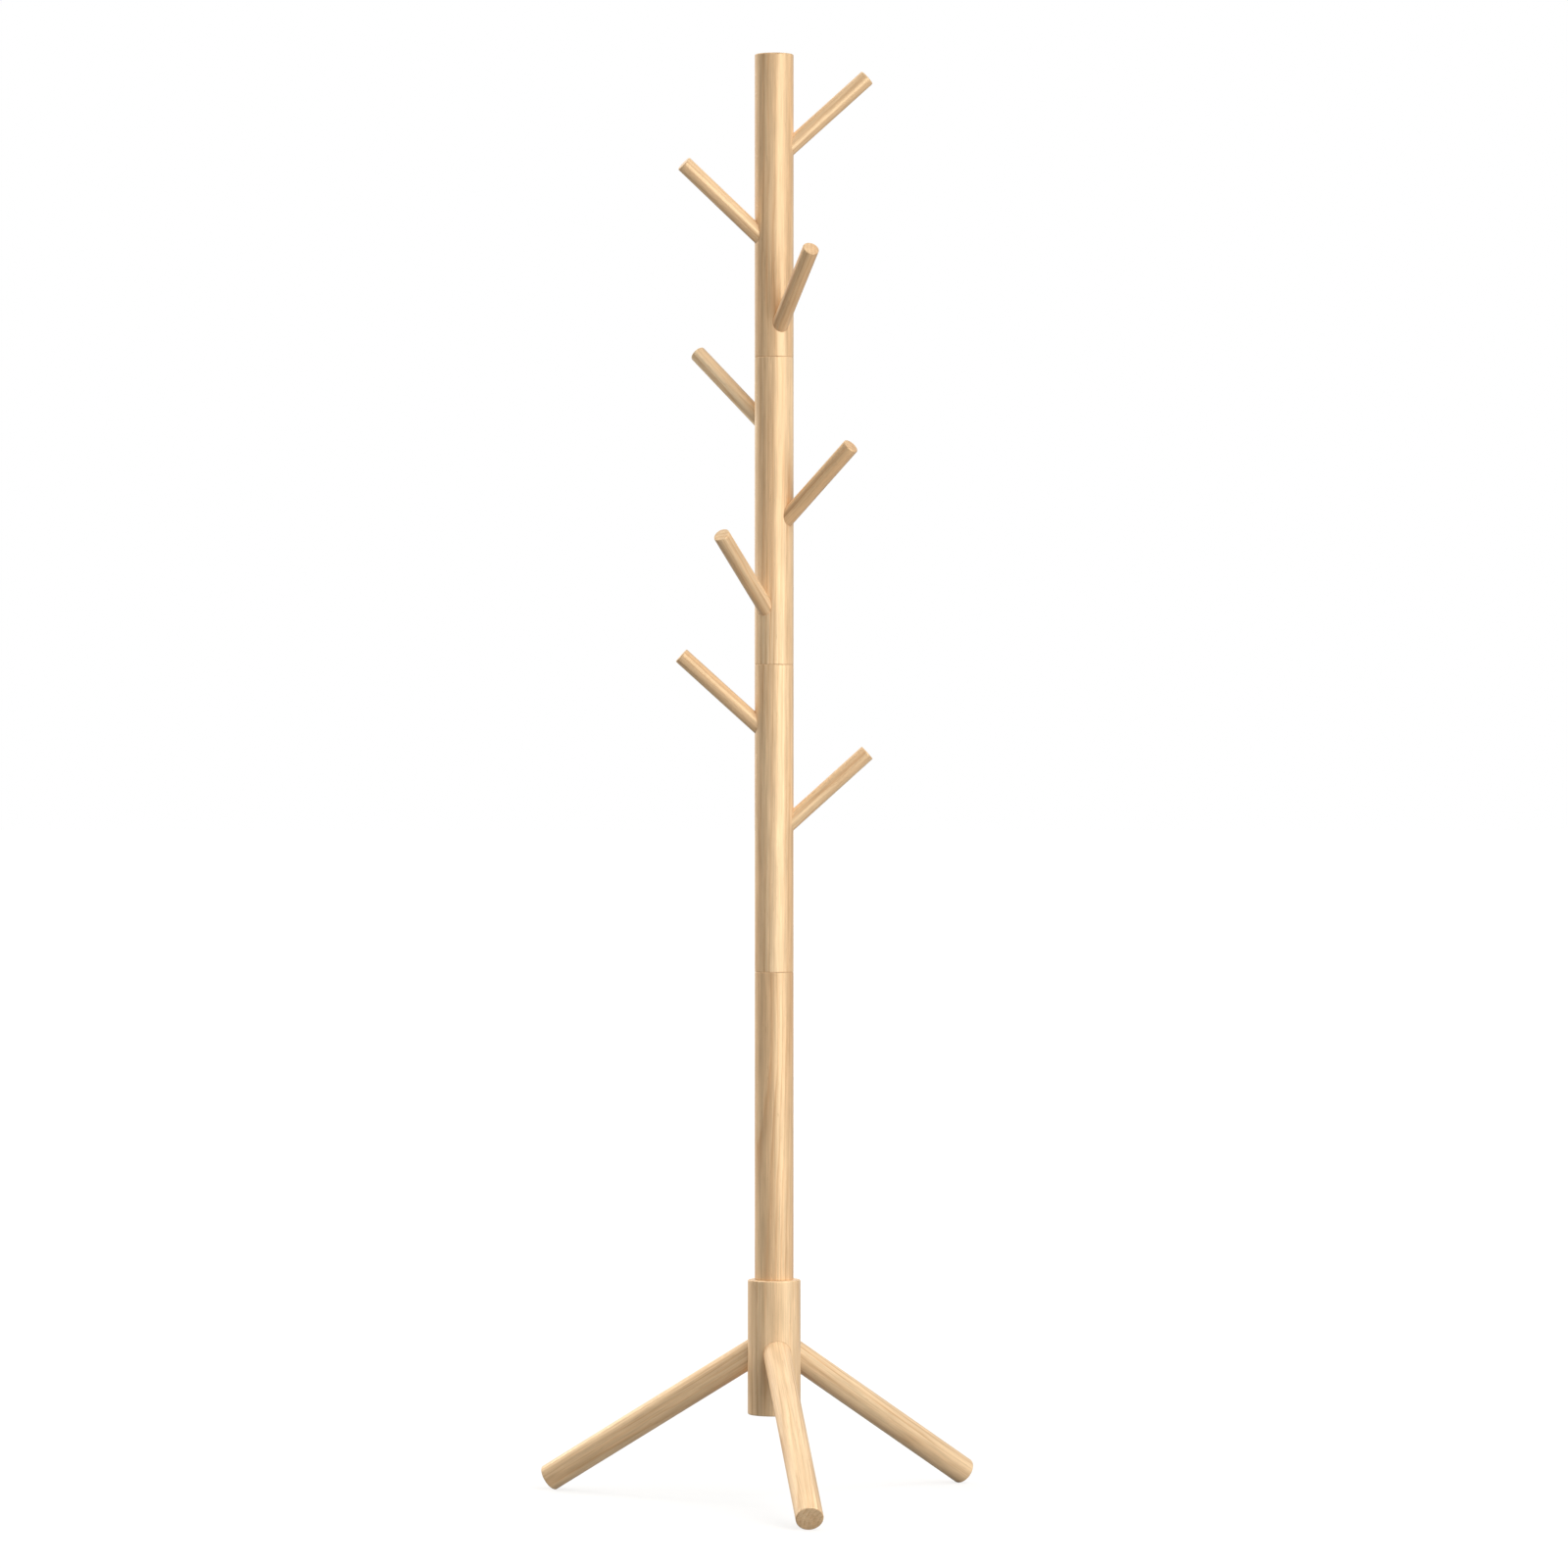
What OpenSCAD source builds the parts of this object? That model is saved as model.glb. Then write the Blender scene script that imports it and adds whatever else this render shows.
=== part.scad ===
// Standing coat rack: a turned pole in four screwed sections on a three-legged hub, with slanting pegs.
// The origin is where the pole's axis meets the floor, +Z is up, and -Y is the front.

/* [Pole] */
// Diameter of every pole section
pole_d = 47; // [40:0.5:60]
// Length of each section below the top one
section_len = 371.5; // [300:0.5:460]
// Length of the top section
top_section_len = 366.5; // [300:0.5:460]
// Chamfer at both ends of a section, which makes the fine groove at each joint
section_chamfer = 0.5; // [0.3:0.1:2]
// Chamfer round the pole's top edge
crown_chamfer = 1; // [0.5:0.1:4]

/* [Hub] */
// Diameter of the base hub
hub_d = 64; // [58:0.5:80]
// Height of the base hub
hub_len = 163; // [130:1:200]
// Height above the hub's underside at which the leg axes cross
leg_cross_rise = 90.7; // [75:0.1:110]
// Chamfer round the hub's top and bottom edges
hub_chamfer = 1; // [0.5:0.1:4]

/* [Legs] */
// Diameter of each leg
leg_d = 33; // [26:0.5:38]
// Length from the pole's axis to a leg's end face
leg_reach = 348.5; // [280:0.5:440]
// Slope of the legs below the horizontal
leg_slope = 31.3; // [24:0.1:38]
// Turn of the front leg about the pole, from +X
front_leg_turn = -82; // [-180:1:180]
// Depth of a leg's end face below the hub's surface, at its shallowest
leg_cover = 2.4; // [1:0.1:4]
// Gap all round a leg in its pocket
leg_pocket_gap = 0.5; // [0.2:0.1:1]
// Chamfer round a leg's end face
leg_chamfer = 0.8; // [0.5:0.1:3]

/* [Pegs] */
// Diameter of each peg
peg_d = 20; // [16:0.5:22]
// Distance from the pole's axis to a peg's end face
peg_reach = 152; // [110:1:190]
// Angle between a peg and the pole
peg_lean = 47.9; // [42:0.1:60]
// Depth of a peg's end face below the pole's surface, at its shallowest
peg_cover = 1.6; // [0.8:0.1:3]
// Gap all round a peg in its pocket
peg_pocket_gap = 1.2; // [0.9:0.1:1.5]
// Chamfer round a peg's end face
peg_chamfer = 0.8; // [0.5:0.1:3]

/* [Fastenings] */
// Thread diameter of the bolts that join the pole's sections
pole_bolt_d = 10; // [8:1:12]
// Depth of a pole bolt's wood thread in the section above the joint
pole_bolt_wood = 17; // [12:0.5:18]
// Length of a pole bolt's machine thread below the joint
pole_bolt_machine = 22; // [15:0.5:26]
// Thread diameter of the bolts that hold the legs
leg_bolt_d = 8; // [6:1:8]
// Depth of a leg bolt's wood thread in the leg
leg_bolt_wood = 45; // [30:1:60]
// Wood left round the hub's axis inside the three leg inserts' holes
hub_core = 4.5; // [2:0.5:6]
// Thread diameter of the bolts that hold the pegs
peg_bolt_d = 6; // [5:1:6]
// Depth of a peg bolt's wood thread in the peg
peg_bolt_wood = 32; // [20:1:45]
// Length of a peg bolt's machine thread in the pole
peg_bolt_machine = 11.5; // [8:0.5:12]
// Wall of a threaded insert round its bolt
insert_wall = 1.8; // [1.2:0.1:2]
// Width of an insert's flange beyond its body
insert_flange = 1.5; // [1:0.1:2]
// Thickness of an insert's flange
insert_flange_t = 1.5; // [1:0.1:2]
// Gap all round a bolt or an insert in its hole
thread_gap = 0.1; // [0.05:0.01:0.3]
// Free depth beyond the end of a bolt or an insert
end_gap = 1; // [0.5:0.1:2]

/* [Hidden] */

$fn = 96;
wood = "burlywood";
steel = "silver";
brass = "darkgoldenrod";

// The leg's lowest point, on the outer end of its chamfer, stands on the floor.
leg_cross_z = (leg_reach - leg_chamfer) * sin(leg_slope) + leg_d / 2 * cos(leg_slope);
hub_z = leg_cross_z - leg_cross_rise;
hub_top_z = hub_z + hub_len;
leg_turns = [for (i = [0:2]) front_leg_turn + 120 * i];

// Each pocket's floor, measured along the leg or peg from the crossing of the axes.
leg_seat = (hub_d / 2 - leg_d / 2 * sin(leg_slope)) / cos(leg_slope) - leg_cover;
peg_seat = (pole_d / 2 - peg_d / 2 * cos(peg_lean)) / sin(peg_lean) - peg_cover;

// Three holes that slope at 120 degrees to each other meet nearer the hub's axis than this.
leg_holes_meet = insert_hole_r(leg_bolt_d) * sqrt((1 + 3 * pow(sin(leg_slope), 2)) / 3) / cos(leg_slope);
leg_bolt_machine = leg_seat - leg_holes_meet - hub_core - 2 * end_gap;

SECTIONS = 4;
function insert_hole_r(d) = d / 2 + insert_wall + 2 * thread_gap;
function section_z(s) = hub_top_z + s * section_len;
function section_length(s) = s == SECTIONS - 1 ? top_section_len : section_len;

// Each peg: its section counted from 0 at the hub, the share of that section's length from its foot
// up to where the peg's axis crosses the pole's, and its turn about the pole from +X.
PEGS = [
    [1, 0.440, 0],
    [1, 0.756, -175],
    [2, 0.140, -124],
    [2, 0.430, -35],
    [2, 0.750, 146],
    [3, 0.060, -67],
    [3, 0.355, -165],
    [3, 0.647, 2],
];
function peg_z(p) = section_z(p[0]) + p[1] * section_length(p[0]);

// A pocket is cut from its floor to just past the surface that it leaves.
peg_pocket_r = peg_d / 2 + peg_pocket_gap;
peg_pocket_end = (pole_d / 2 + peg_pocket_r * cos(peg_lean)) / sin(peg_lean) + 1;
leg_pocket_r = leg_d / 2 + leg_pocket_gap;
leg_pocket_end = (hub_d / 2 + leg_pocket_r * sin(leg_slope)) / cos(leg_slope) + 1;

bolt_point = 1.2;   // height of a wood thread's point, as a multiple of the bolt's radius
bolt_bevel = 1;     // bevel at a machine thread's end

// Puts +Z along a leg, outwards, with the crossing of the axes at the origin.
module along_leg(turn) {
    translate([0, 0, leg_cross_z])
        rotate([0, 90 + leg_slope, turn])
            children();
}

// Puts +Z along a peg, outwards, with the crossing of the axes at the origin.
module along_peg(p) {
    translate([0, 0, peg_z(p)])
        rotate([0, peg_lean, p[2]])
            children();
}

// A turned rod from z0 to z1 with a chamfer at each end.
module turned_rod(d, z0, z1, chamfer0, chamfer1) {
    r = d / 2;
    rotate_extrude()
        polygon([
            [0, z0], [r - chamfer0, z0], [r, z0 + chamfer0],
            [r, z1 - chamfer1], [r - chamfer1, z1], [0, z1],
        ]);
}

// A bolt with a machine thread below z = 0 and a pointed wood thread above it.
module hanger_bolt(d, machine, wood_depth) {
    r = d / 2;
    rotate_extrude()
        polygon([
            [0, -machine], [r - bolt_bevel, -machine], [r, bolt_bevel - machine],
            [r, wood_depth - bolt_point * r], [0, wood_depth],
        ]);
}

// A flanged threaded insert for a bolt of diameter d, with its mouth at z = 0.
module insert(d, machine) {
    bore_r = d / 2 + thread_gap;
    body_r = bore_r + insert_wall;
    flange_r = body_r + insert_flange;
    foot = -(machine + end_gap);
    rotate_extrude()
        polygon([
            [bore_r, foot], [body_r, foot], [body_r, -insert_flange_t],
            [flange_r, -insert_flange_t], [flange_r, 0], [bore_r, 0],
        ]);
}

// The stepped hole that an insert sits in, with its mouth at z = 0.
module insert_hole(d, machine) {
    r = insert_hole_r(d);
    depth = machine + 2 * end_gap;
    translate([0, 0, -depth])
        cylinder(r = r, h = depth + 1);
    translate([0, 0, -insert_flange_t])
        cylinder(r = r + insert_flange, h = insert_flange_t + 1);
}

// The pilot hole for a wood thread, from z = 0 upwards.
module pilot_hole(d, wood_depth) {
    translate([0, 0, -1])
        cylinder(r = d / 2 + thread_gap, h = wood_depth + end_gap + 1);
}

module base_hub() {
    color(wood)
        difference() {
            turned_rod(hub_d, hub_z, hub_top_z, hub_chamfer, hub_chamfer);
            translate([0, 0, hub_top_z])
                insert_hole(pole_bolt_d, pole_bolt_machine);
            for (turn = leg_turns)
                along_leg(turn) {
                    translate([0, 0, leg_seat])
                        cylinder(r = leg_pocket_r, h = leg_pocket_end - leg_seat);
                    translate([0, 0, leg_seat])
                        insert_hole(leg_bolt_d, leg_bolt_machine);
                }
        }
}

module leg(i) {
    color(wood)
        along_leg(leg_turns[i])
            difference() {
                turned_rod(leg_d, leg_seat, leg_reach, leg_chamfer, leg_chamfer);
                translate([0, 0, leg_seat])
                    pilot_hole(leg_bolt_d, leg_bolt_wood);
            }
}

module leg_bolt(i) {
    color(steel)
        along_leg(leg_turns[i])
            translate([0, 0, leg_seat])
                hanger_bolt(leg_bolt_d, leg_bolt_machine, leg_bolt_wood);
}

module leg_insert(i) {
    color(brass)
        along_leg(leg_turns[i])
            translate([0, 0, leg_seat])
                insert(leg_bolt_d, leg_bolt_machine);
}

module pole_section(s) {
    foot_z = section_z(s);
    head_z = foot_z + section_length(s);
    is_top = s == SECTIONS - 1;
    color(wood)
        difference() {
            turned_rod(pole_d, foot_z, head_z, section_chamfer, is_top ? crown_chamfer : section_chamfer);
            translate([0, 0, foot_z])
                pilot_hole(pole_bolt_d, pole_bolt_wood);
            if (!is_top)
                translate([0, 0, head_z])
                    insert_hole(pole_bolt_d, pole_bolt_machine);
            for (p = PEGS)
                if (p[0] == s)
                    along_peg(p) {
                        translate([0, 0, peg_seat])
                            cylinder(r = peg_pocket_r, h = peg_pocket_end - peg_seat);
                        translate([0, 0, peg_seat])
                            insert_hole(peg_bolt_d, peg_bolt_machine);
                    }
        }
}

module pole_bolt(s) {
    color(steel)
        translate([0, 0, section_z(s)])
            hanger_bolt(pole_bolt_d, pole_bolt_machine, pole_bolt_wood);
}

module pole_insert(s) {
    color(brass)
        translate([0, 0, section_z(s)])
            insert(pole_bolt_d, pole_bolt_machine);
}

module peg(i) {
    color(wood)
        along_peg(PEGS[i])
            difference() {
                turned_rod(peg_d, peg_seat, peg_reach, peg_chamfer, peg_chamfer);
                translate([0, 0, peg_seat])
                    pilot_hole(peg_bolt_d, peg_bolt_wood);
            }
}

module peg_bolt(i) {
    color(steel)
        along_peg(PEGS[i])
            translate([0, 0, peg_seat])
                hanger_bolt(peg_bolt_d, peg_bolt_machine, peg_bolt_wood);
}

module peg_insert(i) {
    color(brass)
        along_peg(PEGS[i])
            translate([0, 0, peg_seat])
                insert(peg_bolt_d, peg_bolt_machine);
}

SIDES = ["front", "right", "left"];
base_hub();
for (i = [0:2]) {
    leg(i);
    leg_bolt(i);
    leg_insert(i);
}
for (s = [0:SECTIONS - 1]) {
    pole_section(s);
    pole_bolt(s);
    pole_insert(s);
}
for (i = [0:len(PEGS) - 1]) {
    peg(i);
    peg_bolt(i);
    peg_insert(i);
}
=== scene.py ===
# %% [markdown]
# # A standing coat rack
# The real thing is a knock-down rack of pale turned wood. Three thick dowels make the legs, a short
# thick hub holds them, four lengths of dowel screw end to end into the pole, and eight thin dowels
# slant out of its upper half as pegs. This lesson remodels each wooden piece around a fixed frame,
# which also holds the steel bolts and brass inserts inside the joints.

import math

import bmesh
import bpy
import numpy as np
from mathutils import Matrix, Vector


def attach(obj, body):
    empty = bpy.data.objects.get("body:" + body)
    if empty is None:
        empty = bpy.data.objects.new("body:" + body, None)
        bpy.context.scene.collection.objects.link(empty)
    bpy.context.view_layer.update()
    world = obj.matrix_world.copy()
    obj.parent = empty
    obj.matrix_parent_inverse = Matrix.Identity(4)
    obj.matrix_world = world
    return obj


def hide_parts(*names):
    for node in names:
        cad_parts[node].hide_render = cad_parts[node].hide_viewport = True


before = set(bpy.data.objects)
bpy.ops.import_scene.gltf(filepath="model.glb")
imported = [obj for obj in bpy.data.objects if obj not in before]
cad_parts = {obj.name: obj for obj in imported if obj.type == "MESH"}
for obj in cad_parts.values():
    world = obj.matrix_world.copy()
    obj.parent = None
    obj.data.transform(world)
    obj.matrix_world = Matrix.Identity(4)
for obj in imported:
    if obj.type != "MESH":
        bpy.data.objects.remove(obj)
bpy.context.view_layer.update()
MM = 0.001

# %% [markdown]
# ## Where each round piece lies
# Every piece of the rack was turned on a lathe, so it is round about an axis of its own. The places
# could be typed in, but measuring them keeps the lesson right if the rack's sizes change. The points of
# a turned piece lie evenly round its axis, so their mean is on the axis and their longest spread runs
# along it. A slanting piece is measured from the point where its axis crosses the pole's axis.

# %% Measure a turned piece
def measured(points, start, axis):
    along = (points - start) @ axis
    out = np.linalg.norm(points - start - np.outer(along, axis), axis=1)
    foot = along < along.min() + 0.01 * MM
    return {"start": Vector(start), "axis": Vector(axis), "radius": out.max(), "low": along.min(),
            "high": along.max(), "low_radius": out[foot].max()}


def points_of(node):
    return np.array([v.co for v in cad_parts[node].data.vertices], float)


def slanting(node):
    points = np.unique(points_of(node).round(7), axis=0)
    middle = points.mean(0)
    axis = np.linalg.eigh(np.cov((points - middle).T))[1][:, -1]
    if axis[:2] @ middle[:2] < 0:
        axis = -axis
    start = middle - axis * (middle[:2] @ axis[:2]) / (axis[:2] @ axis[:2])
    return measured(points, start, axis)


def upright(node):
    return measured(points_of(node), np.zeros(3), np.array([0.0, 0.0, 1.0]))


SIDES = ["front", "right", "left"]
LEGS = {side: slanting(f"leg_{side}") for side in SIDES}
PEGS = {i: slanting(f"peg_{i}") for i in range(1, 9)}
SECTIONS = {i: upright(f"pole_section_{i}") for i in range(1, 5)}
HUB = upright("base_hub")
for side, leg in LEGS.items():
    turn = math.degrees(math.atan2(leg["axis"].y, leg["axis"].x))
    print(f"leg {side}: {2 * leg['radius'] / MM:.1f} mm thick, turned {turn:.0f} degrees")
for i, peg in PEGS.items():
    turn = math.degrees(math.atan2(peg["axis"].y, peg["axis"].x))
    print(f"peg {i}: leaves the pole at {peg['start'].z / MM:.0f} mm, turned {turn:.0f} degrees")

# %% [markdown]
# ## The camera
# A tall thin thing looks straight when it is seen from far away with a long lens at about half its
# height. The camera is level, so the pole stays upright in the frame, and a small shift of the lens
# frames the rack without tilting the camera.

# %% Place the camera
CAMERA_AWAY = 7.5
CAMERA_HEIGHT = 0.910
FOCAL_LENGTH = 142.4        # in mm, on a sensor 36 mm wide
SHIFT_X, SHIFT_Y = 0.0063, -0.0233
FARTHEST_SEEN = 300.0
lens = bpy.data.cameras.new("long_lens")
lens.lens = FOCAL_LENGTH
lens.sensor_width = 36.0
lens.shift_x, lens.shift_y = SHIFT_X, SHIFT_Y
lens.clip_end = FARTHEST_SEEN
camera = bpy.data.objects.new("camera", lens)
camera.location = (0.0, -CAMERA_AWAY, CAMERA_HEIGHT)
camera.rotation_euler = (math.radians(90), 0.0, 0.0)
bpy.context.scene.collection.objects.link(camera)
bpy.context.scene.camera = camera
bpy.context.scene.view_settings.view_transform = "Standard"
print("camera", CAMERA_AWAY, "m in front and", CAMERA_HEIGHT, "m up")

# %% [markdown]
# ## Colours and nodes
# Colours are written as the hex values that a paint program shows. Blender's shaders work in linear
# light, so one function turns a hex value into linear numbers. A second small function adds a node
# to a material, sets what it is told, and links it to what feeds it.

# %% Turn a hex colour to linear light
def linear(hex_colour):
    parts = [int(hex_colour[k:k + 2], 16) / 255 for k in (1, 3, 5)]
    return (*(p / 12.92 if p <= 0.04045 else ((p + 0.055) / 1.055) ** 2.4 for p in parts), 1.0)


def grey(value):
    return (value, value, value, 1.0)


# %% Add a node
def add(tree, kind, feeds=None, stops=(), **settings):
    made = tree.nodes.new("ShaderNode" + kind)
    for name, value in settings.items():
        setattr(made, name, value)
    for socket, value in (feeds or {}).items():
        if isinstance(value, bpy.types.NodeSocket):
            tree.links.new(value, made.inputs[socket])
        else:
            made.inputs[socket].default_value = value
    for k, (place, colour) in enumerate(stops):
        ramp = made.color_ramp.elements
        stop = ramp[k] if k < 2 else ramp.new(place)
        stop.position, stop.color = place, colour
    return made


def new_material(name):
    material = bpy.data.materials.new(name)
    material.use_nodes = True
    material.node_tree.nodes.clear()
    return material, material.node_tree


# %% [markdown]
# ## Floor and light
# A studio lights such a rack on a white sweep. A wide soft box at the front right draws a soft bright
# band down the pole, and a bank of lamps above it brightens the tops of the legs and drops faint
# shadows to the left. The room on the camera's left is dim, which leaves the left of each dowel in
# soft shade, and a strip light and a high lamp at the back left draw its thin bright rim. Only the
# soft box shows in reflections, because a lacquered rod would turn each other lamp into a hard line.
# An overexposed sweep comes out pure white however it is lit, so the floor gets a glow and the world
# a white that only the camera sees, and neither of them lights the wood.

# %% Lay a pale floor
FLOOR_SIZE = 120.0
FLOOR_GLOW = 0.655                  # near the rack, so low that its shadows still show
GLOW_FROM, GLOW_TO = 1.0, 3.0       # metres out over which the glow rises to full white
bpy.ops.object.select_all(action="DESELECT")
bpy.ops.mesh.primitive_plane_add(size=FLOOR_SIZE, location=(0.0, 0.0, 0.0))
floor = bpy.context.active_object
floor.name = "studio_floor"
floor_paint, tree = new_material("matt_pale_floor_paint")
place = add(tree, "TexCoord")
mottle = add(tree, "TexNoise", {"Vector": place.outputs["Object"], "Scale": 1.5, "Detail": 3.0})
tone = add(tree, "ValToRGB", {"Fac": mottle.outputs["Fac"]},
           [(0.3, linear("#7E7D7B")), (0.7, linear("#82817F"))])
paint = add(tree, "BsdfPrincipled", {"Base Color": tone.outputs["Color"], "Roughness": 0.8,
                                     "Specular IOR Level": 0.2})
reach = add(tree, "VectorMath", {0: place.outputs["Object"]}, operation="LENGTH")
glow = add(tree, "MapRange", {"Value": reach.outputs["Value"], "From Min": GLOW_FROM, "From Max": GLOW_TO,
                              "To Min": FLOOR_GLOW, "To Max": 1.0}, interpolation_type="SMOOTHSTEP")
ray = add(tree, "LightPath")
seen_glow = add(tree, "Math", {0: ray.outputs["Is Camera Ray"], 1: glow.outputs["Result"]},
                operation="MULTIPLY")
lift = add(tree, "Emission", {"Color": linear("#FFFFFF"), "Strength": seen_glow.outputs["Value"]})
both = add(tree, "AddShader", {0: paint.outputs["BSDF"], 1: lift.outputs["Emission"]})
add(tree, "OutputMaterial", {"Surface": both.outputs["Shader"]})
floor.data.materials.append(floor_paint)
print("floor", FLOOR_SIZE, "m wide, glow", FLOOR_GLOW, "near the rack")

# %% Light the room
ROOM, BEHIND, ABOVE = 0.18, 0.85, 0.95       # the world's strength in front, behind and overhead
BEHIND_WAY = (-0.45, 0.89, 0.0)              # behind the rack and a little to the left
world = bpy.data.worlds.new("white_sweep")
world.use_nodes = True
tree = world.node_tree
tree.nodes.clear()
way = add(tree, "TexCoord")
split = add(tree, "SeparateXYZ", {"Vector": way.outputs["Generated"]})
back = add(tree, "VectorMath", {0: way.outputs["Generated"], 1: BEHIND_WAY}, operation="DOT_PRODUCT")
depth = add(tree, "MapRange", {"Value": back.outputs["Value"], "From Min": 0.35, "From Max": 0.95,
                               "To Min": ROOM, "To Max": BEHIND}, interpolation_type="SMOOTHSTEP")
rise = add(tree, "MapRange", {"Value": split.outputs["Z"], "From Min": 0.2, "From Max": 0.9,
                              "To Min": 0.0, "To Max": ABOVE})
level = add(tree, "Math", {0: depth.outputs["Result"], 1: rise.outputs["Result"]}, operation="MAXIMUM")
room = add(tree, "Background", {"Color": linear("#FFFFFF"), "Strength": level.outputs["Value"]})
sweep = add(tree, "Background", {"Color": linear("#FFFFFF"), "Strength": 1.0})
ray = add(tree, "LightPath")
seen = add(tree, "MixShader", {0: ray.outputs["Is Camera Ray"], 1: room.outputs["Background"],
                               2: sweep.outputs["Background"]})
add(tree, "OutputWorld", {"Surface": seen.outputs["Shader"]})
bpy.context.scene.world = world
print("world", ROOM, "in front,", BEHIND, "behind,", ABOVE, "above")


# %% Hang the two banks of lamps
def towards(turn, height):
    """The way to a lamp: turn in degrees to the right of the front, height in degrees above level."""
    level = math.cos(math.radians(height))
    return Vector((level * math.sin(math.radians(turn)), -level * math.cos(math.radians(turn)),
                   math.sin(math.radians(height))))


def sun(name, energy, spread, turn, height, shadow):
    bank = bpy.data.lights.new(name, "SUN")
    bank.energy, bank.angle, bank.use_shadow = energy, math.radians(spread), shadow
    hung = bpy.data.objects.new(name, bank)
    hung.rotation_euler = towards(turn, height).to_track_quat("Z", "Y").to_euler()
    hung.visible_glossy = False
    bpy.context.scene.collection.objects.link(hung)


sun("overhead_bank", 1.0, 40, 50, 58, True)
sun("high_back_light", 2.9, 24, -131, 29, False)     # its shadows would cross the floor to the right

# %% Stand the two soft boxes
BOX_AWAY = 3.4
BOX_CLEAR = 0.1                              # from the floor to the box's lower edge
BOX_AIM = Vector((0.0, 0.0, 0.95))           # about half the rack's height


def soft_box(name, turn, width, height, watts, mirrored):
    box = bpy.data.lights.new(name, "AREA")
    box.shape = "RECTANGLE"
    box.size, box.size_y, box.energy = width, height, watts
    stand = bpy.data.objects.new(name, box)
    stand.location = BOX_AWAY * towards(turn, 0.0)
    stand.location.z = height / 2 + BOX_CLEAR
    stand.rotation_euler = (BOX_AIM - stand.location).to_track_quat("-Z", "Y").to_euler()
    stand.visible_camera = False
    stand.visible_glossy = mirrored
    bpy.context.scene.collection.objects.link(stand)


soft_box("key_soft_box", 39.0, 3.5, 2.6, 110.0, True)
soft_box("rim_strip", -130.0, 0.5, 2.5, 60.0, False)

# %% [markdown]
# ## Turning a rod
# A dowel's sharp ends are broken with sandpaper, so its edges are small quarter rounds. A revolved
# curve could give the same shape. Here a cylinder is the blank: its two end edges are bevelled as the
# sandpaper would, and the flat ends get a narrow inset so that the light turns only on the round. Two
# cuts just past the rounds keep the long wall straight for the same reason. A hole is sunk into a flat
# end by an inset and an extrude.

# %% Select in edit mode
TINY = 0.002 * MM


def select(piece, kind, wanted):
    bpy.context.view_layer.objects.active = piece
    bpy.ops.object.mode_set(mode="EDIT")
    bpy.ops.mesh.select_mode(type=kind)
    bpy.ops.mesh.select_all(action="DESELECT")
    shape = bmesh.from_edit_mesh(piece.data)
    for part in shape.faces if kind == "FACE" else shape.edges:
        part.select_set(bool(wanted(part)))
    bmesh.update_edit_mesh(piece.data)


def at_height(part, z):
    return all(abs(v.co.z - z) < TINY for v in part.verts)


# %% Turn a rod with rounded ends
ROUND_STEPS = 5
END_INSET = 0.5 * MM
PAST_ROUND = 1.0 * MM


def turn_rod(name, radius, low, high, low_round, high_round, sides):
    bpy.ops.object.select_all(action="DESELECT")
    bpy.ops.mesh.primitive_cylinder_add(
        vertices=sides, radius=radius, depth=high - low, location=(0.0, 0.0, (low + high) / 2),
        end_fill_type="NGON")
    rod = bpy.context.active_object
    rod.name = name
    bpy.ops.object.transform_apply(location=True, rotation=True, scale=True)
    for z, size, inwards in ((low, low_round, 1), (high, high_round, -1)):
        select(rod, "EDGE", lambda edge: at_height(edge, z))
        bpy.ops.mesh.bevel(offset=size, segments=ROUND_STEPS, profile=0.5, affect="EDGES")
        select(rod, "FACE", lambda face: at_height(face, z))
        bpy.ops.mesh.inset(thickness=END_INSET)
        bpy.ops.mesh.select_all(action="SELECT")
        cut = z + inwards * (size + PAST_ROUND)
        bpy.ops.mesh.bisect(plane_co=(0.0, 0.0, cut), plane_no=(0.0, 0.0, 1.0))
    bpy.ops.object.mode_set(mode="OBJECT")
    return rod


# %% Step a flat end in or out
def step_end(rod, z, radius, travel):
    """Insets the end face at z to the radius and moves it by travel. Returns its new height."""
    select(rod, "FACE", lambda face: at_height(face, z) and len(face.verts) > 8)
    rim = [v.co.xy.length for v in bmesh.from_edit_mesh(rod.data).verts if v.select]
    shrink = (max(rim) - radius) * math.cos(math.pi / len(rim))
    bpy.ops.mesh.inset(thickness=shrink)
    bpy.ops.mesh.extrude_region_move(TRANSFORM_OT_translate={"value": (0.0, 0.0, travel)})
    bpy.ops.object.mode_set(mode="OBJECT")
    return z + travel


# %% Lay a rod along an axis
def lay_along(rod, line):
    turn = line["axis"].to_track_quat("Z", "Y").to_matrix().to_4x4()
    rod.matrix_world = Matrix.Translation(line["start"]) @ turn
    bpy.ops.object.select_all(action="DESELECT")
    rod.select_set(True)
    bpy.context.view_layer.objects.active = rod
    bpy.ops.object.transform_apply(location=True, rotation=True, scale=True)


def copy_of(rod, name):
    twin = rod.copy()
    twin.data = rod.data.copy()
    twin.name = twin.data.name = name
    bpy.context.scene.collection.objects.link(twin)
    return twin


# %% [markdown]
# ## Legs
# Each leg is a thick dowel, cut square at both ends, that enters the hub on a slope and stands on the
# lower edge of its outer end. The three are alike, so one is modelled lying on the Z axis and copied.
# A pilot hole in its inner end takes the wood thread of the bolt that holds it. The frame cuts a small
# chamfer at each end, and the quarter round here is the largest that stays inside that chamfer.

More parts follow.
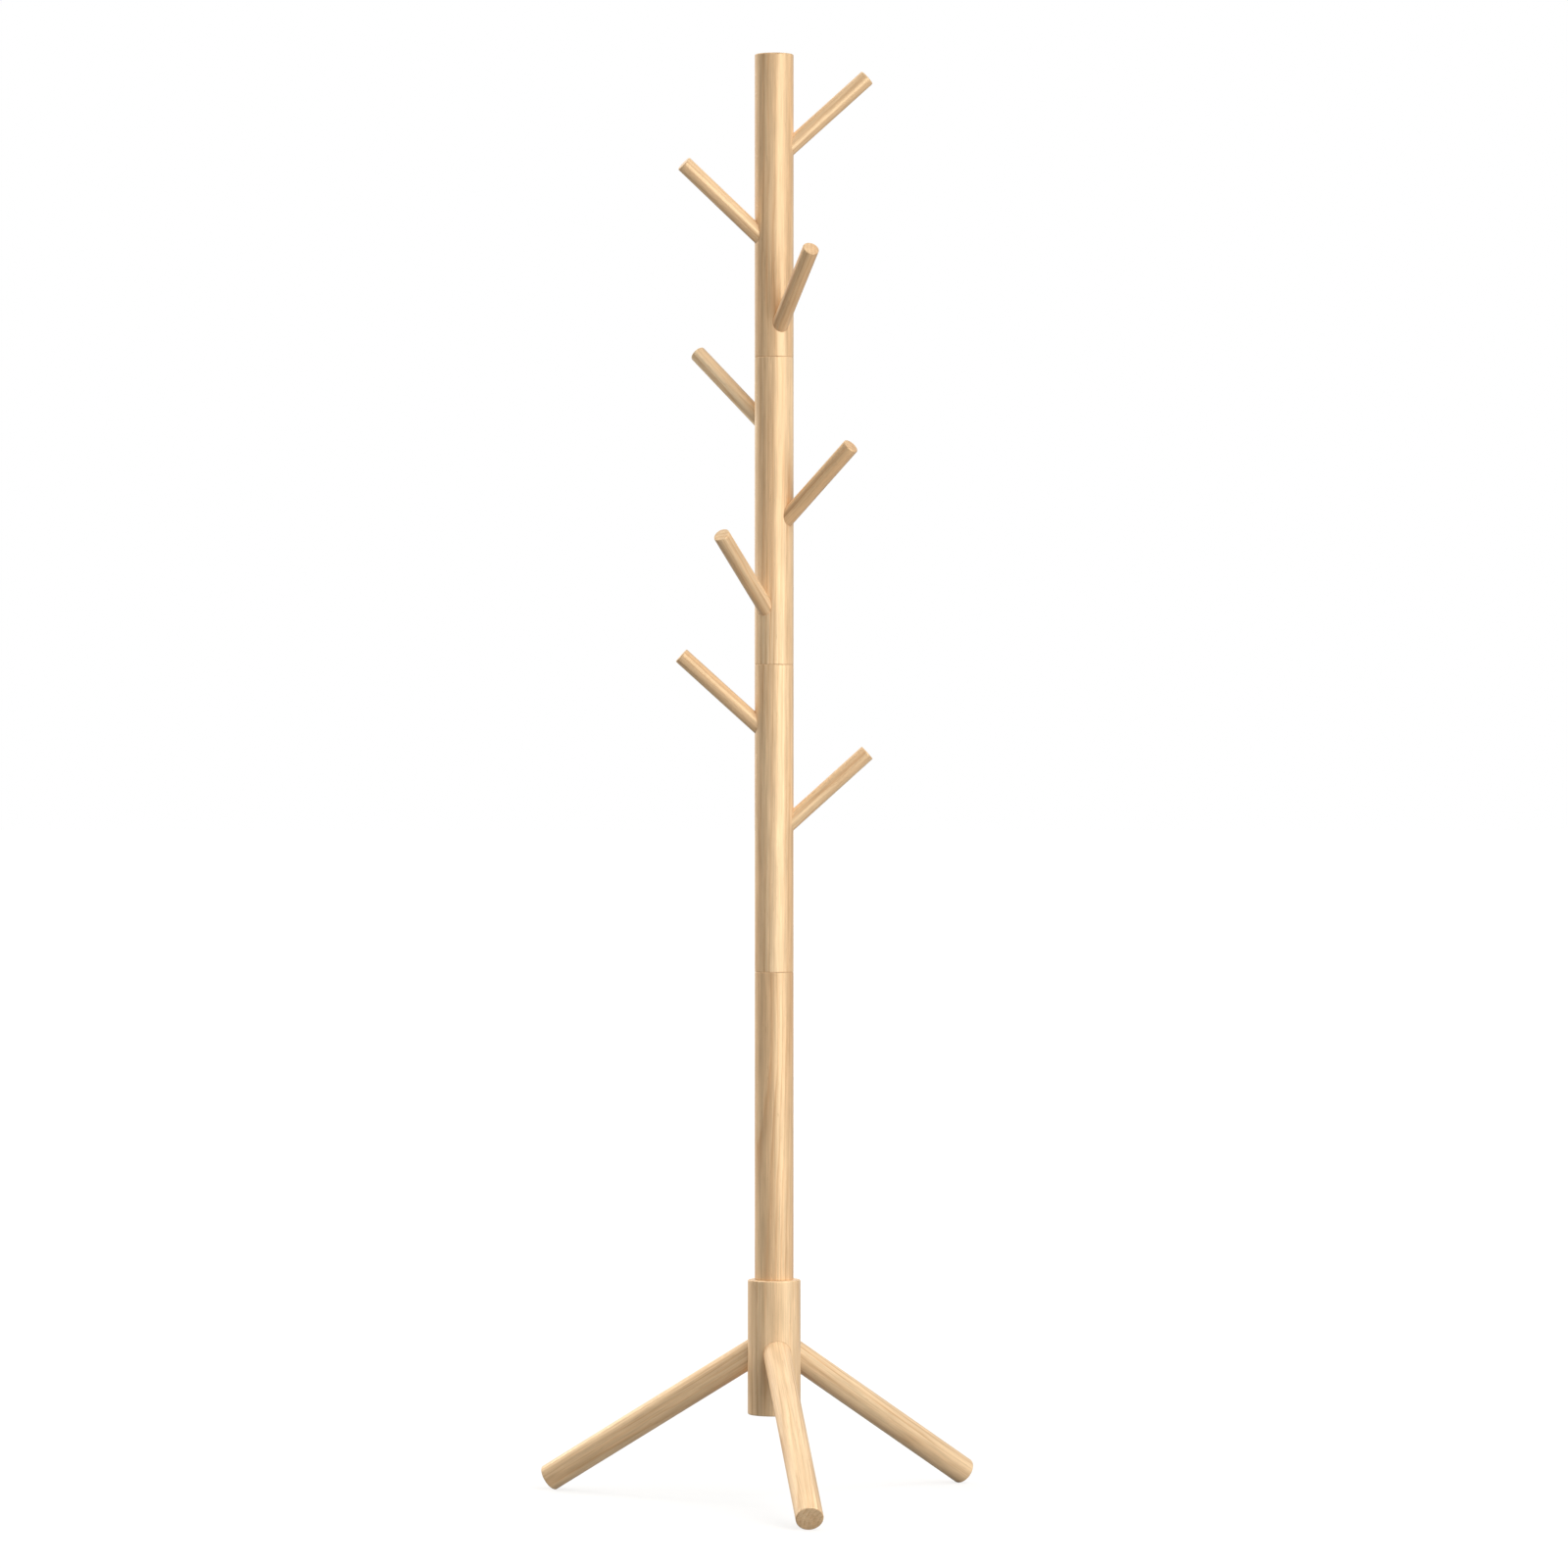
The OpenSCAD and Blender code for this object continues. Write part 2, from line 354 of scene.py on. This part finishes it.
# %% Model the legs
THREAD_GAP = 0.1 * MM
END_GAP = 1.0 * MM
ROUND_IN_CHAMFER = 1 / (2 - math.sqrt(2))       # radius of the round, for a chamfer 1 wide
END_ROUND = 0.8 * MM * ROUND_IN_CHAMFER
LEG_SIDES, PEG_SIDES = 160, 128
leg = LEGS["front"]
bolt = slanting("leg_bolt_front")
leg_blank = turn_rod("leg_blank", leg["radius"], leg["low"], leg["high"], END_ROUND, END_ROUND, LEG_SIDES)
step_end(leg_blank, leg["low"], bolt["radius"] + THREAD_GAP, bolt["high"] + END_GAP - leg["low"])
wooden = {}
for side, line in LEGS.items():
    wooden[f"leg_{side}"] = copy_of(leg_blank, f"dowel_leg_{side}")
    lay_along(wooden[f"leg_{side}"], line)
bpy.data.objects.remove(leg_blank)
print("legs", f"{(leg['high'] - leg['low']) / MM:.1f} mm long, end round {END_ROUND / MM:.2f} mm")

# %% [markdown]
# ## Pegs
# The pegs are thin dowels made the same way, with the same small round at each end. One is modelled
# and copied eight times.

# %% Model the pegs
peg = PEGS[1]
bolt = slanting("peg_bolt_1")
peg_blank = turn_rod("peg_blank", peg["radius"], peg["low"], peg["high"], END_ROUND, END_ROUND, PEG_SIDES)
step_end(peg_blank, peg["low"], bolt["radius"] + THREAD_GAP, bolt["high"] + END_GAP - peg["low"])
for i, line in PEGS.items():
    wooden[f"peg_{i}"] = copy_of(peg_blank, f"dowel_peg_{i}")
    lay_along(wooden[f"peg_{i}"], line)
bpy.data.objects.remove(peg_blank)
print("pegs", f"{(peg['high'] - peg['low']) / MM:.1f} mm long")

# %% [markdown]
# ## Pockets
# The hub and the pole are drilled on a slope, and a stepped bit leaves a seat for the peg's end, a
# recess for the insert's flange, and a hole for its body. The bit's shape is modelled as a solid and
# taken away from the wood, which is what drilling does. A pocket could also be drawn face by face,
# but the saddle curve where it leaves a round surface comes out exactly with a Boolean. The pockets
# are drawn a little tighter than the frame's: once the rack is screwed together they hardly show.

# %% Model a stepped bit
BIT_SIDES = 144
BIT_PAST_WALL = 3 * MM


def stepped_bit(name, line, gap, wall_radius, insert):
    lean = abs(line["axis"].z)
    across = math.sqrt(1 - lean * lean)
    radius = line["radius"] + gap
    reach = (wall_radius + radius * lean) / across + BIT_PAST_WALL
    bpy.ops.object.select_all(action="DESELECT")
    bpy.ops.mesh.primitive_cylinder_add(
        vertices=BIT_SIDES, radius=radius, depth=reach - line["low"],
        location=(0.0, 0.0, (reach + line["low"]) / 2), end_fill_type="NGON")
    bit = bpy.context.active_object
    bit.name = name
    bpy.ops.object.transform_apply(location=True, rotation=True, scale=True)
    flange = step_end(bit, line["low"], insert["radius"] + THREAD_GAP, -insert["flange"])
    step_end(bit, flange, insert["low_radius"] + THREAD_GAP, insert["low"] - END_GAP - flange)
    return bit


FLANGE = 1.5 * MM
leg_insert = {**slanting("leg_insert_front"), "flange": FLANGE}
peg_insert = {**slanting("peg_insert_1"), "flange": FLANGE}
pole_insert = {**upright("pole_insert_1"), "flange": FLANGE}
LEG_GAP = 0.3 * MM
PEG_GAP = 0.25 * MM
leg_bit = stepped_bit("leg_bit", LEGS["front"], LEG_GAP, HUB["radius"], leg_insert)
peg_bit = stepped_bit("peg_bit", PEGS[1], PEG_GAP, SECTIONS[1]["radius"], peg_insert)
print("bits", leg_bit.dimensions[:], peg_bit.dimensions[:])


# %% Drill a pocket and ease its rim
SHARP = 0.3                 # radians between the faces at a rim; a wall's own bends are far smaller
RIM_MERGE = 0.3 * MM


def drill(wood, bit, line):
    cutter = copy_of(bit, "cutter")
    lay_along(cutter, line)
    pocket = wood.modifiers.new("pocket", "BOOLEAN")
    pocket.operation, pocket.solver, pocket.object = "DIFFERENCE", "EXACT", cutter
    bpy.context.view_layer.objects.active = wood
    bpy.ops.object.modifier_apply(modifier=pocket.name)
    bpy.data.objects.remove(cutter)


def ease_rims(wood, line, width):
    low, high = line["low"] + 5 * MM, line["high"] - 5 * MM
    skin = line["radius"] - 0.02 * MM

    def on_rim(edge):
        return (len(edge.link_faces) == 2 and edge.calc_face_angle() > SHARP
                and all(v.co.xy.length > skin and low < v.co.z < high for v in edge.verts))

    select(wood, "EDGE", on_rim)
    bpy.ops.mesh.remove_doubles(threshold=RIM_MERGE)
    select(wood, "EDGE", on_rim)
    bpy.ops.mesh.bevel(offset=width, segments=1, affect="EDGES", clamp_overlap=True)
    bpy.ops.object.mode_set(mode="OBJECT")


# %% [markdown]
# ## The hub
# The hub is a short thick cylinder with the grain upright. Its rounded top edge shows as a bright ring
# where the thinner pole stands on it, and its side has three arched openings where the legs enter. A
# stepped hole in its top takes the brass insert for the pole's first bolt.

# %% Model the hub
RIM_EASE = 0.3 * MM
HUB_ROUND = 1.0 * MM * ROUND_IN_CHAMFER
HUB_SIDES = 256
hub = turn_rod("turned_hub", HUB["radius"], HUB["low"], HUB["high"], HUB_ROUND, HUB_ROUND, HUB_SIDES)
wooden["base_hub"] = hub


def sink_insert(wood, top, insert):
    deep = step_end(wood, top, insert["radius"] + THREAD_GAP, -insert["flange"])
    depth = insert["low"] - END_GAP - insert["high"]
    step_end(wood, deep, insert["low_radius"] + THREAD_GAP, depth + insert["flange"])


sink_insert(hub, HUB["high"], pole_insert)
for line in LEGS.values():
    drill(hub, leg_bit, line)
ease_rims(hub, HUB, RIM_EASE)
print("hub has", len(hub.data.polygons), "faces")

# %% [markdown]
# ## The pole
# Three alike lengths of dowel and a slightly shorter top one screw end to end. The small rounds at
# their ends meet as fine grooves, which show as a thin dark line with a bright edge. The plain length
# is modelled once and copied, and then each copy is drilled for its own pegs. The top length has a
# fuller round on its upper edge and no insert in it.

# %% Model the pole
SEAM_ROUND = 0.5 * MM * ROUND_IN_CHAMFER
CROWN_ROUND = 1.0 * MM * ROUND_IN_CHAMFER
POLE_SIDES = 224
bolt = upright("pole_bolt_1")
first = SECTIONS[1]
pilot = bolt["high"] - first["low"] + END_GAP
plain = turn_rod("plain_length", first["radius"], first["low"], first["high"], SEAM_ROUND, SEAM_ROUND,
                 POLE_SIDES)
step_end(plain, first["low"], bolt["radius"] + THREAD_GAP, pilot)
sink_insert(plain, first["high"], pole_insert)
for i in (1, 2, 3):
    wooden[f"pole_section_{i}"] = length = copy_of(plain, f"pole_length_{i}")
    length.location.z = SECTIONS[i]["low"] - first["low"]
    bpy.ops.object.select_all(action="DESELECT")
    length.select_set(True)
    bpy.context.view_layer.objects.active = length
    bpy.ops.object.transform_apply(location=True, rotation=True, scale=True)
bpy.data.objects.remove(plain)
crown = SECTIONS[4]
top = turn_rod("pole_length_4", crown["radius"], crown["low"], crown["high"], SEAM_ROUND, CROWN_ROUND,
               POLE_SIDES)
step_end(top, crown["low"], bolt["radius"] + THREAD_GAP, pilot)
wooden["pole_section_4"] = top
for i, line in PEGS.items():
    s = next(s for s, length in SECTIONS.items() if length["low"] < line["start"].z < length["high"])
    drill(wooden[f"pole_section_{s}"], peg_bit, line)
for i in (2, 3, 4):
    ease_rims(wooden[f"pole_section_{i}"], SECTIONS[i], RIM_EASE)
for bit in (leg_bit, peg_bit):
    bpy.data.objects.remove(bit)
for i in SECTIONS:
    print("pole length", i, "has", len(wooden[f"pole_section_{i}"].data.polygons), "faces")

# %% [markdown]
# ## Smooth shading
# The round walls should look round and the chamfered rims crisp. Every bend of the walls and of the
# rounded ends is under 20 degrees and every real edge is over it, so one angle tells them apart.

# %% Shade the wood smooth
EDGE_ANGLE = 21
for piece in wooden.values():
    bpy.ops.object.select_all(action="DESELECT")
    piece.select_set(True)
    bpy.context.view_layer.objects.active = piece
    bpy.ops.object.shade_smooth_by_angle(angle=math.radians(EDGE_ANGLE))
print("smoothed", len(wooden), "pieces")

# %% [markdown]
# ## Rubberwood under a clear matt lacquer
# The wood is a pale straw colour with a slight rosy cast. It has straight grain, soft growth bands
# that show as long streaks, or as tall arches where they run nearly level with the surface, fine
# lighter and darker fibres, and short brown dashes, which are its large pores cut lengthwise. A plain
# stripe texture would look printed. Here the growth bands are rings round a pith beside the dowel, so
# they are streaks on the side and arcs on the end, as in a real dowel, and they fade in and out along
# it. Each piece has its own pith, place in the log and tone. The thin matt lacquer gives a wide soft
# highlight, and the fibres under it throw the light back warm, which the tinted reflection stands for.

# %% Name the wood's sizes and colours
RING_WIDTH = 5.5 * MM
FIBRE_WIDTH, FIBRE_LENGTH = 1.3 * MM, 60 * MM      # real fibres are far finer; this is as fine as shows
PORE_WIDTH, PORE_LENGTH = 0.9 * MM, 14 * MM        # real pores are 0.2 mm wide; drawn as wide as shows
RIPPLE_WIDTH, RIPPLE_LENGTH = 6 * MM, 60 * MM      # broad lighter and darker strips between the fibres
FADE_WIDTH, FADE_LENGTH = 9 * MM, 110 * MM         # where a growth band fades out
BROAD_WIDTH, BROAD_LENGTH = 22 * MM, 420 * MM      # slow changes of the ground colour
WANDER_WIDTH, WANDER_LENGTH = 45 * MM, 260 * MM    # how the rings bend
WANDER = 12 * MM                                   # how far they bend
LOG_STEP = 10 * MM                                 # along the log for each degree of a piece's turn
PALE, STRAW, ROSY, PORE = "#EACDA6", "#D3B086", "#C3966C", "#94694A"
FIBRE_SHEEN = "#FFE2B4"
RING_TONES = [(0.0, grey(0.25)), (0.12, grey(0.0)), (0.62, grey(0.35)), (0.9, grey(1.0)), (1.0, grey(0.25))]
print("rings", RING_WIDTH / MM, "mm, fibres", FIBRE_WIDTH / MM, "mm, pores", PORE_WIDTH / MM, "mm wide")


# %% Write the wood's material
def mixed(a, b, share):
    return tuple(x + (y - x) * share for x, y in zip(a, b))


def rubberwood(name, line, pith, turn, tone, slant, end_tone):
    """Wood with its grain along line.

    pith is how far the log's middle is from the dowel's axis and turn is on which side of it. tone goes
    from pale 0 to rosy 1, slant leans the grain so that growth bands make arches, and end_tone darkens
    the end grain.
    """
    material, tree = new_material(name)
    place = add(tree, "TexCoord")
    lean = line["axis"].to_track_quat("Z", "Y").to_euler()
    centre = line["start"] + line["axis"] * turn * LOG_STEP
    local = add(tree, "Mapping", {"Vector": place.outputs["Object"], "Location": centre, "Rotation": lean},
                vector_type="TEXTURE")

    def stretched(width, length, detail=2.0, rough=0.5):
        scaled = add(tree, "VectorMath", {0: local.outputs["Vector"], 1: (1 / width, 1 / width, 1 / length)},
                     operation="MULTIPLY")
        return add(tree, "TexNoise", {"Vector": scaled.outputs["Vector"], "Scale": 1.0, "Detail": detail,
                                      "Roughness": rough})

    # growth bands round the pith, wandering a little
    wander = stretched(WANDER_WIDTH, WANDER_LENGTH, 4.0)
    drift = add(tree, "VectorMath", {0: wander.outputs["Color"], 1: (0.5, 0.5, 0.5)}, operation="SUBTRACT")
    drift = add(tree, "VectorMath", {0: drift.outputs["Vector"], "Scale": WANDER}, operation="SCALE")
    bent = add(tree, "VectorMath", {0: local.outputs["Vector"], 1: drift.outputs["Vector"]}, operation="ADD")
    parts = add(tree, "SeparateXYZ", {"Vector": bent.outputs["Vector"]})
    across = add(tree, "Math", {0: parts.outputs["X"], 1: pith * math.cos(math.radians(turn))},
                 operation="SUBTRACT")
    climb = add(tree, "Math", {0: parts.outputs["Z"], 1: slant}, operation="MULTIPLY")
    across = add(tree, "Math", {0: across.outputs["Value"], 1: climb.outputs["Value"]}, operation="ADD")
    deep = add(tree, "Math", {0: parts.outputs["Y"], 1: pith * math.sin(math.radians(turn))},
               operation="SUBTRACT")
    squares = [add(tree, "Math", {0: way.outputs["Value"], 1: way.outputs["Value"]}, operation="MULTIPLY")
               for way in (across, deep)]
    total = add(tree, "Math", {k: square.outputs["Value"] for k, square in enumerate(squares)},
                operation="ADD")
    out = add(tree, "Math", {0: total.outputs["Value"]}, operation="SQRT")
    rings = add(tree, "Math", {0: out.outputs["Value"], 1: RING_WIDTH}, operation="DIVIDE")
    ring = add(tree, "Math", {0: rings.outputs["Value"]}, operation="FRACT")
    band = add(tree, "ValToRGB", {"Fac": ring.outputs["Value"]}, RING_TONES)
    patchy = stretched(FADE_WIDTH, FADE_LENGTH)
    fade = add(tree, "MapRange", {"Value": patchy.outputs["Fac"], "From Min": 0.35, "From Max": 0.6,
                                  "To Min": 0.2, "To Max": 1.0})
    faded = add(tree, "Math", {0: band.outputs["Color"], 1: fade.outputs["Result"]}, operation="MULTIPLY")

    # the ground colour, from slow changes in the log
    pale = mixed(linear(PALE), linear(STRAW), tone)
    straw = mixed(linear(STRAW), linear(ROSY), 0.35 + 0.65 * tone)
    broad = stretched(BROAD_WIDTH, BROAD_LENGTH)
    ground = add(tree, "ValToRGB", {"Fac": broad.outputs["Fac"]},
                 [(0.30, mixed(pale, straw, 0.6)), (0.62, pale), (0.75, mixed(pale, linear(PALE), 0.3))])
    banded = add(tree, "Mix", {0: faded.outputs["Value"], 6: ground.outputs["Color"], 7: straw},
                 data_type="RGBA")

    # lighter and darker fibres and strips, and brown pores
    fibre = stretched(FIBRE_WIDTH, FIBRE_LENGTH, 3.0, 0.6)
    strip = stretched(RIPPLE_WIDTH, RIPPLE_LENGTH, 3.0, 0.55)
    pores = stretched(PORE_WIDTH, PORE_LENGTH, 1.0)
    streak = add(tree, "MapRange", {"Value": fibre.outputs["Fac"], "From Min": 0.3, "From Max": 0.7,
                                    "To Min": 0.83, "To Max": 1.12})
    ripple = add(tree, "MapRange", {"Value": strip.outputs["Fac"], "From Min": 0.3, "From Max": 0.7,
                                    "To Min": 0.90, "To Max": 1.08})
    figure = add(tree, "Math", {0: streak.outputs["Result"], 1: ripple.outputs["Result"]},
                 operation="MULTIPLY")
    fibred = add(tree, "Mix", {0: 1.0, 6: banded.outputs[2], 7: figure.outputs["Value"]},
                 data_type="RGBA", blend_type="MULTIPLY")
    dash = add(tree, "MapRange", {"Value": pores.outputs["Fac"], "From Min": 0.69, "From Max": 0.77,
                                  "To Min": 0.0, "To Max": 0.4})
    flecked = add(tree, "Mix", {0: dash.outputs["Result"], 6: fibred.outputs[2], 7: linear(PORE)},
                  data_type="RGBA")

    # end grain: where the surface faces along the grain
    facing = add(tree, "VectorMath", {0: place.outputs["Normal"], 1: line["axis"]}, operation="DOT_PRODUCT")
    either = add(tree, "Math", {0: facing.outputs["Value"]}, operation="ABSOLUTE")
    ends = add(tree, "MapRange", {"Value": either.outputs["Value"], "From Min": 0.55, "From Max": 0.95,
                                  "To Min": 1.0, "To Max": end_tone})
    colour = add(tree, "Mix", {0: 1.0, 6: flecked.outputs[2], 7: ends.outputs["Result"]},
                 data_type="RGBA", blend_type="MULTIPLY")

    # the fibres stand a little proud and the pores are sunk
    proud = add(tree, "Math", {0: fibre.outputs["Fac"], 1: 0.6}, operation="MULTIPLY")
    sunk = add(tree, "Math", {0: dash.outputs["Result"], 1: -0.4}, operation="MULTIPLY")
    relief = add(tree, "Math", {0: proud.outputs["Value"], 1: sunk.outputs["Value"]}, operation="ADD")
    bump = add(tree, "Bump", {"Height": relief.outputs["Value"], "Strength": 0.25, "Distance": 0.08 * MM})
    gloss = add(tree, "MapRange", {"Value": fibre.outputs["Fac"], "From Min": 0.3, "From Max": 0.7,
                                   "To Min": 0.36, "To Max": 0.28})
    wood = add(tree, "BsdfPrincipled", {
        "Base Color": colour.outputs[2], "Roughness": gloss.outputs["Result"], "IOR": 1.6,
        "Normal": bump.outputs["Normal"], "Specular IOR Level": 1.0, "Specular Tint": linear(FIBRE_SHEEN),
        "Coat Weight": 0.1, "Coat Roughness": 0.32, "Coat IOR": 1.5})
    add(tree, "OutputMaterial", {"Surface": wood.outputs["BSDF"]})
    return material


# %% [markdown]
# ## A cut of the log for each piece
# The hub's, legs' and pole's flat ends are a little darker than their sides, because open end grain
# drinks light. The pegs' ends are sanded and lacquered like their sides, and match them.

# %% Give each wooden piece its own cut of the log
# piece: mm from the dowel's axis to the pith, turn of the pith in degrees, tone, lean of the grain;
# a tone under 0 is paler still than the pale colour
CUTS = {
    "base_hub": (60, -70, 0.10, 0.010),
    "leg_front": (26, 200, 0.25, 0.030),
    "leg_right": (48, 40, 0.15, 0.012),
    "leg_left": (40, 120, 0.10, 0.020),
    "pole_section_1": (30, -95, 0.60, 0.030),
    "pole_section_2": (75, 30, 0.18, 0.010),
    "pole_section_3": (62, 150, 0.20, 0.014),
    "pole_section_4": (90, -40, 0.55, 0.008),
    "peg_1": (40, 15, 0.35, 0.02),
    "peg_2": (30, 140, 0.30, 0.02),
    "peg_3": (50, 250, 0.45, 0.01),
    "peg_4": (35, 75, 0.90, 0.02),
    # peg_5's tone under 0 is painted light: it is paler to make up for lamp light that this peg, turned away
    # from the lamps, does not get
    "peg_5": (45, 310, -0.35, 0.01),
    "peg_6": (28, 190, 0.80, 0.03),
    "peg_7": (55, 100, 0.25, 0.01),
    "peg_8": (33, 225, 0.20, 0.02),
}
END_TONE = {"base": 0.9, "leg": 0.92, "pole": 0.9, "peg": 1.0}
LINES = {"base_hub": HUB}
LINES.update({f"leg_{side}": line for side, line in LEGS.items()})
LINES.update({f"pole_section_{i}": line for i, line in SECTIONS.items()})
LINES.update({f"peg_{i}": line for i, line in PEGS.items()})


def kind_of(node):
    return node.split("_")[0]


for node, piece in wooden.items():
    pith, turn, tone, slant = CUTS[node]
    log_cut = rubberwood(f"rubberwood_{piece.name}", LINES[node], pith * MM, turn, tone, slant,
                         END_TONE[kind_of(node)])
    piece.data.materials.clear()
    piece.data.materials.append(log_cut)
print("wood on", len(wooden), "pieces")

# %% [markdown]
# ## Zinc-plated steel and brass
# The bolts are steel with a bright zinc plate, slightly mottled where the crystals grew, and the
# inserts are plain turned brass that has dulled a little. Both are hidden once the rack is screwed
# together, but they show when it is taken apart, so they get real finishes too. The frame's own
# bolts and inserts have the right shape and stay.

# %% Write the two metals
SPANGLE = 1.2 * MM          # the size of a zinc crystal
TARNISH = 4.0 * MM          # the size of a dull patch on the brass


def metal(name, dark, light, grain, smooth, rough):
    """Bare metal whose patches, as wide as grain, go from dark and rough to light and smooth."""
    material, tree = new_material(name)
    place = add(tree, "TexCoord")
    speck = add(tree, "TexNoise", {"Vector": place.outputs["Object"], "Scale": 1 / grain, "Detail": 4.0})
    colour = add(tree, "ValToRGB", {"Fac": speck.outputs["Fac"]},
                 [(0.3, linear(dark)), (0.7, linear(light))])
    gloss = add(tree, "MapRange", {"Value": speck.outputs["Fac"], "From Min": 0.3, "From Max": 0.7,
                                   "To Min": rough, "To Max": smooth})
    bump = add(tree, "Bump", {"Height": speck.outputs["Fac"], "Strength": 0.2, "Distance": 0.02 * MM})
    shader = add(tree, "BsdfPrincipled", {
        "Base Color": colour.outputs["Color"], "Metallic": 1.0, "Roughness": gloss.outputs["Result"],
        "Normal": bump.outputs["Normal"]})
    add(tree, "OutputMaterial", {"Surface": shader.outputs["BSDF"]})
    return material


zinc = metal("zinc_plated_steel", "#AEB4BA", "#D3D6D8", SPANGLE, 0.25, 0.42)
brass = metal("turned_brass", "#B08A3E", "#D9B35F", TARNISH, 0.24, 0.40)
fittings = 0
for name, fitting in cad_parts.items():
    if "bolt" in name or "insert" in name:
        for slot in fitting.material_slots:
            slot.material = zinc if "bolt" in name else brass
        fittings += 1
print("metal on", fittings, "fittings")

# %% [markdown]
# ## Tie the pieces to the frame
# Nothing on the rack moves, so every piece rides on the one body. Each wooden piece stands for the frame's
# plain solid of the same name, which is hidden.

# %% Tie the pieces
for node, piece in wooden.items():
    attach(piece, "root")
    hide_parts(node)
